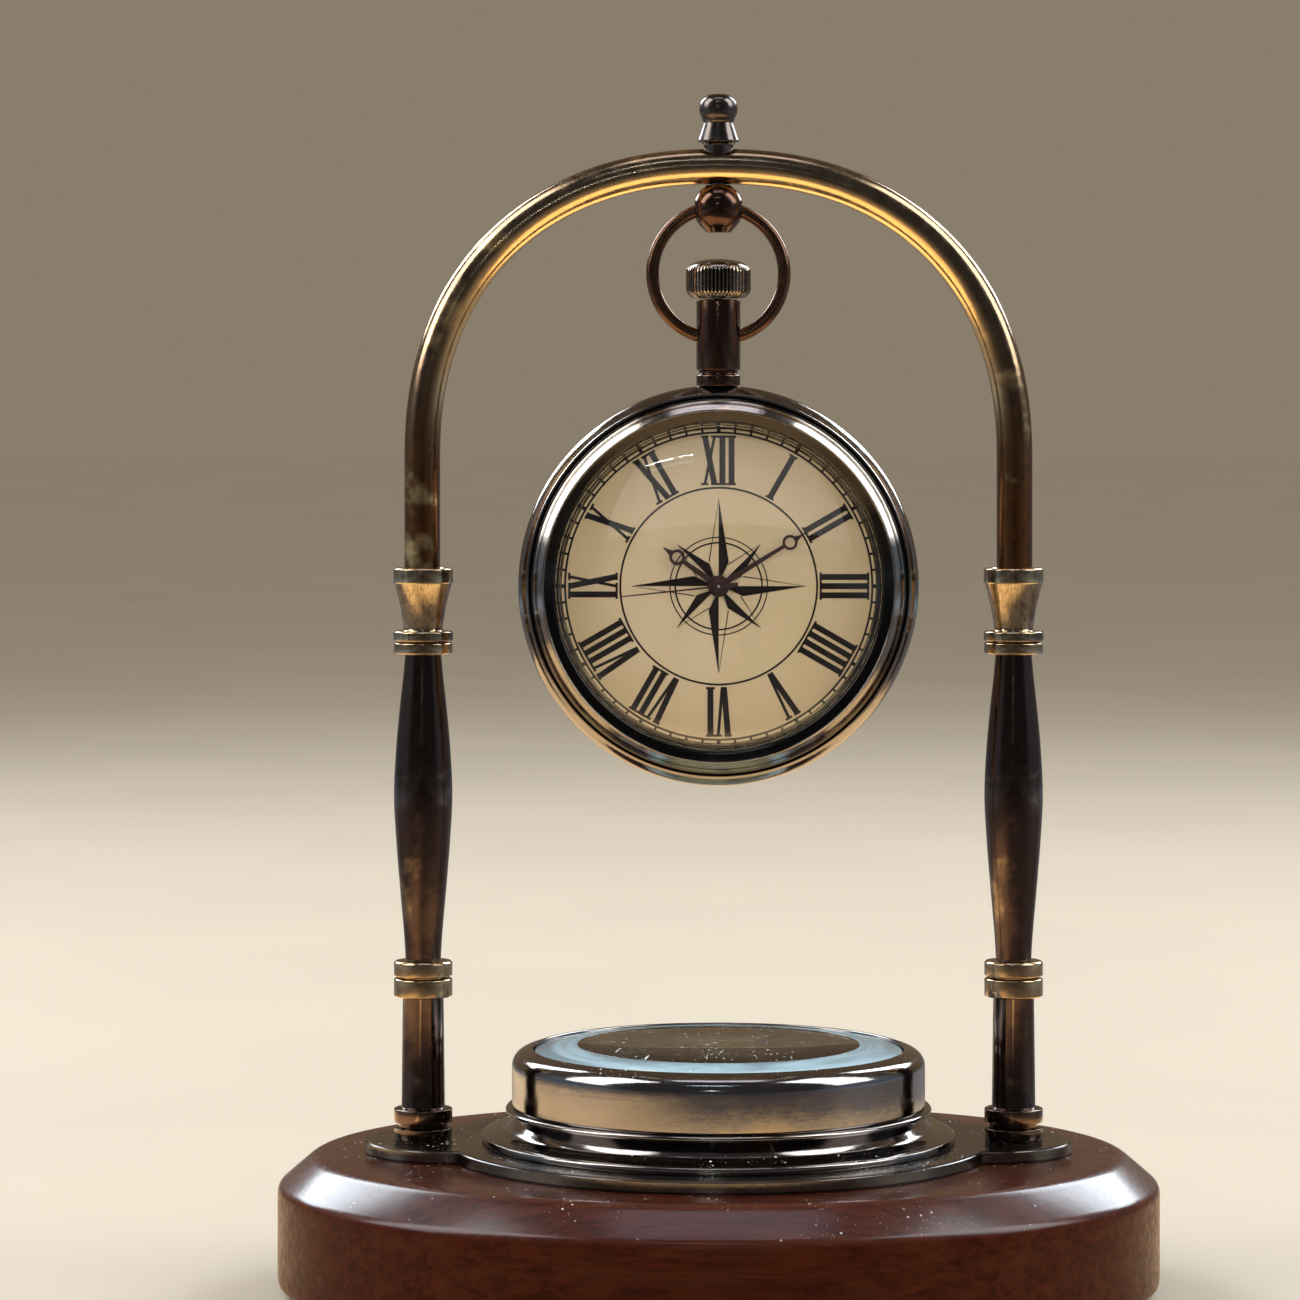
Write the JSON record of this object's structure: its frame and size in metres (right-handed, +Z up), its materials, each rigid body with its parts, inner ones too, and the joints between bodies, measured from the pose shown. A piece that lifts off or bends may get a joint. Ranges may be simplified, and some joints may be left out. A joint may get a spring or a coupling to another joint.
{
  "type": "ship's deck clock",
  "caption": "Pocket watch with a Roman dial hung by its bow from a brass arch on turned columns, over a desk compass on an oval wooden base.",
  "frame": {"origin": "middle of the underside of the felt, where the clock rests on the desk", "axes": "+Z up through the compass, the watch and the finial; the dial faces -Y; the columns stand on -X and +X"},
  "size_m": [0.11, 0.09, 0.1495],
  "materials": {
    "green_felt": "napped felt",
    "mahogany": "dark stain under gloss lacquer",
    "antique_brass": "chemically darkened, polished through on the edges",
    "worn_brass": "darkened brass worn back to gold",
    "steel": "machined",
    "glass": "clear, polished",
    "black_plastic": "moulded",
    "dial_cream": "matt printed",
    "hand_paint": "dark lacquered steel",
    "coil_copper": "enamelled copper winding",
    "board_green": "circuit board"
  },
  "bodies": {
    "stand": {"felt_pad": "green_felt", "wooden_base": "mahogany", "base_plate": "antique_brass", "left_foot_ring": "antique_brass", "left_stem": "antique_brass", "left_baluster": "antique_brass", "left_ferrule": "worn_brass", "left_tie_rod": "steel", "left_washer": "steel", "left_nut": "steel", "right_foot_ring": "antique_brass", "right_stem": "antique_brass", "right_baluster": "antique_brass", "right_ferrule": "worn_brass", "right_tie_rod": "steel", "right_washer": "steel", "right_nut": "steel", "arch": "antique_brass", "finial": "antique_brass", "compass_body": "antique_brass", "compass_bezel": "antique_brass", "compass_glass": "glass", "compass_gasket": "black_plastic", "compass_dial": "worn_brass", "compass_pivot": "steel", "compass_bolt": "steel"},
    "hanger": {"hanger_bead": "antique_brass"},
    "bow": {"bow": "antique_brass"},
    "watch": {"case_middle": "antique_brass", "case_back": "antique_brass", "case_bezel": "antique_brass", "crystal": "glass", "dial_flange": "antique_brass", "dial": "dial_cream", "pendant": "antique_brass", "movement_holder": "black_plastic", "main_plate": "worn_brass", "train_bridge": "steel", "bridge_screw_1": "steel", "bridge_screw_2": "steel", "button_cell": "steel", "battery_clip": "steel", "stepping_motor": "coil_copper", "circuit_board": "board_green"},
    "crown_slider": {"crown_gasket": "black_plastic"},
    "crown": {"crown": "antique_brass", "setting_stem": "steel"},
    "seconds": {"seconds_wheel": "steel", "second_hand": "hand_paint"},
    "third": {"third_wheel": "worn_brass"},
    "minutes": {"centre_wheel": "worn_brass", "minute_hand": "hand_paint"},
    "minute_work": {"minute_wheel": "worn_brass"},
    "hours": {"hour_wheel": "worn_brass", "hour_hand": "hand_paint"},
    "needle": {"compass_needle": "steel", "needle_cap": "worn_brass"}
  },
  "joints": [
    {"name": "hanger_swivel", "type": "hinge", "parent": "stand", "child": "hanger", "pos_m": [0, 0, 0.1365], "axis": [0, 0, 1], "range_deg": [-20, 20]},
    {"name": "bow_swing", "type": "hinge", "parent": "hanger", "child": "bow", "pos_m": [0, 0, 0.135], "axis": [1, 0, 0], "range_deg": [-75, 75]},
    {"name": "watch_swing", "type": "hinge", "parent": "bow", "child": "watch", "pos_m": [0, 0, 0.11933], "axis": [1, 0, 0], "range_deg": [-90, 90]},
    {"name": "crown_pull", "type": "slide", "parent": "watch", "child": "crown_slider", "axis": [0, 0, 1], "range_m": [0, 0.0008]},
    {"name": "crown_turn", "type": "hinge", "parent": "crown_slider", "child": "crown", "pos_m": [0, 0, 0.1246], "axis": [0, 0, 1], "continuous": true},
    {"name": "second_hand_turn", "type": "hinge", "parent": "watch", "child": "seconds", "pos_m": [0, 0, 0.0881], "axis": [0, 1, 0], "continuous": true},
    {"name": "third_wheel_turn", "type": "hinge", "parent": "watch", "child": "third", "pos_m": [-0.00294, 0, 0.0864], "axis": [0, 1, 0], "continuous": true},
    {"name": "minute_hand_turn", "type": "hinge", "parent": "watch", "child": "minutes", "pos_m": [0, 0, 0.0881], "axis": [0, 1, 0], "continuous": true},
    {"name": "minute_wheel_turn", "type": "hinge", "parent": "watch", "child": "minute_work", "pos_m": [0.0026, 0, 0.0866], "axis": [0, 1, 0], "continuous": true},
    {"name": "hour_hand_turn", "type": "hinge", "parent": "watch", "child": "hours", "pos_m": [0, 0, 0.0881], "axis": [0, 1, 0], "continuous": true},
    {"name": "compass_needle_turn", "type": "hinge", "parent": "stand", "child": "needle", "pos_m": [0, 0, 0.0271], "axis": [0, 0, 1], "continuous": true}
  ],
  "couplings": [
    {"joint": "third_wheel_turn", "follows": "second_hand_turn", "ratio": -0.13333},
    {"joint": "minute_hand_turn", "follows": "second_hand_turn", "ratio": 0.016667},
    {"joint": "minute_wheel_turn", "follows": "second_hand_turn", "ratio": -0.0055556},
    {"joint": "hour_hand_turn", "follows": "second_hand_turn", "ratio": 0.0013889}
  ]
}
